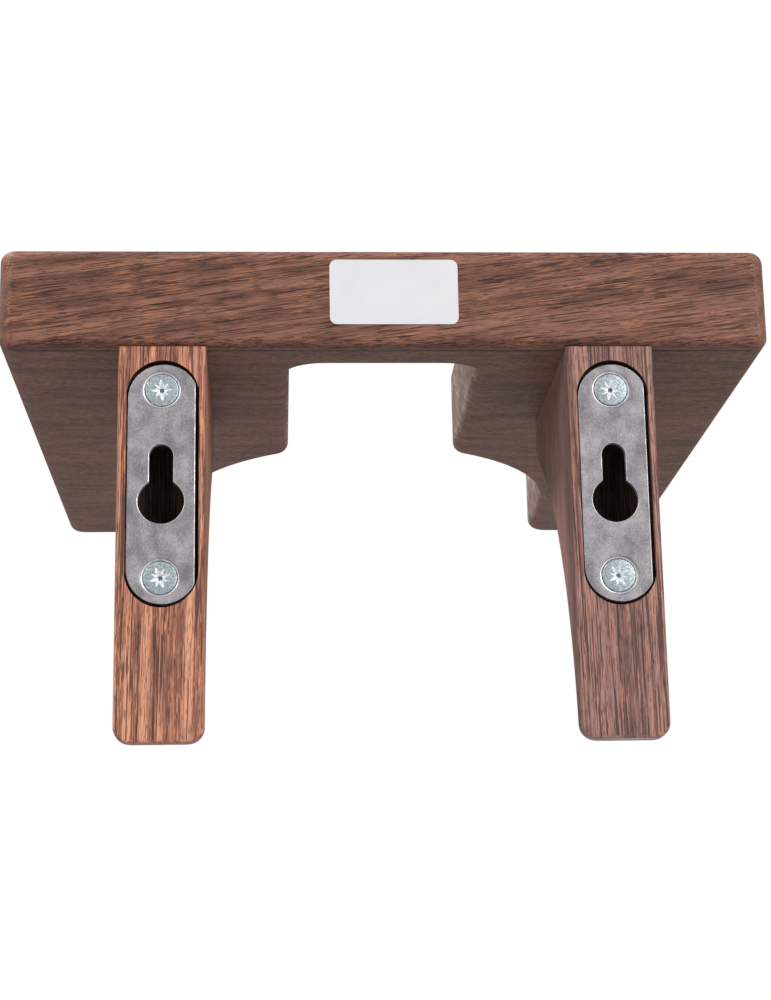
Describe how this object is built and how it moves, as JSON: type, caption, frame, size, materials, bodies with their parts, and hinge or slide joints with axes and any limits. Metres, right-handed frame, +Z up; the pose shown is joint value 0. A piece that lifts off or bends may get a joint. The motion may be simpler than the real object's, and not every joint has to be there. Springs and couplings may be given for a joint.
{
  "type": "wall bracket",
  "caption": "Dark stained wooden wall bracket: a forked shelf with a round mouth and slot on two gusset uprights, hung on steel keyhole plates let into their rear faces.",
  "frame": {"origin": "on the wall plane, halfway between the two points where the keyhole slots rest on their wall screws", "axes": "+Z up, +Y out of the rear faces into the wall, -Y into the room, +X to the right for someone who faces the wall"},
  "size_m": [0.1914, 0.1955, 0.1235],
  "materials": {
    "stained_wood_shelf": "dark brown stain under a thin satin oil, open pores, grain along the board's width",
    "stained_wood_uprights": "dark brown stain under a thin satin oil, open pores, grain upright",
    "plate_steel": "plain pressed steel, mottled grey with burnished edges",
    "zinc_plated_steel": "bright zinc plate",
    "dowel_wood": "plain beech, unstained",
    "label_paper": "matt white label, blank"
  },
  "bodies": {
    "root": {"forked_shelf": "stained_wood_shelf", "right_upright": "stained_wood_uprights", "left_upright": "stained_wood_uprights", "right_hanger_plate": "plate_steel", "left_hanger_plate": "plate_steel", "right_upper_plate_screw": "zinc_plated_steel", "right_lower_plate_screw": "zinc_plated_steel", "left_upper_plate_screw": "zinc_plated_steel", "left_lower_plate_screw": "zinc_plated_steel", "right_front_dowel": "dowel_wood", "right_rear_dowel": "dowel_wood", "left_front_dowel": "dowel_wood", "left_rear_dowel": "dowel_wood", "rear_label": "label_paper"}
  },
  "joints": []
}
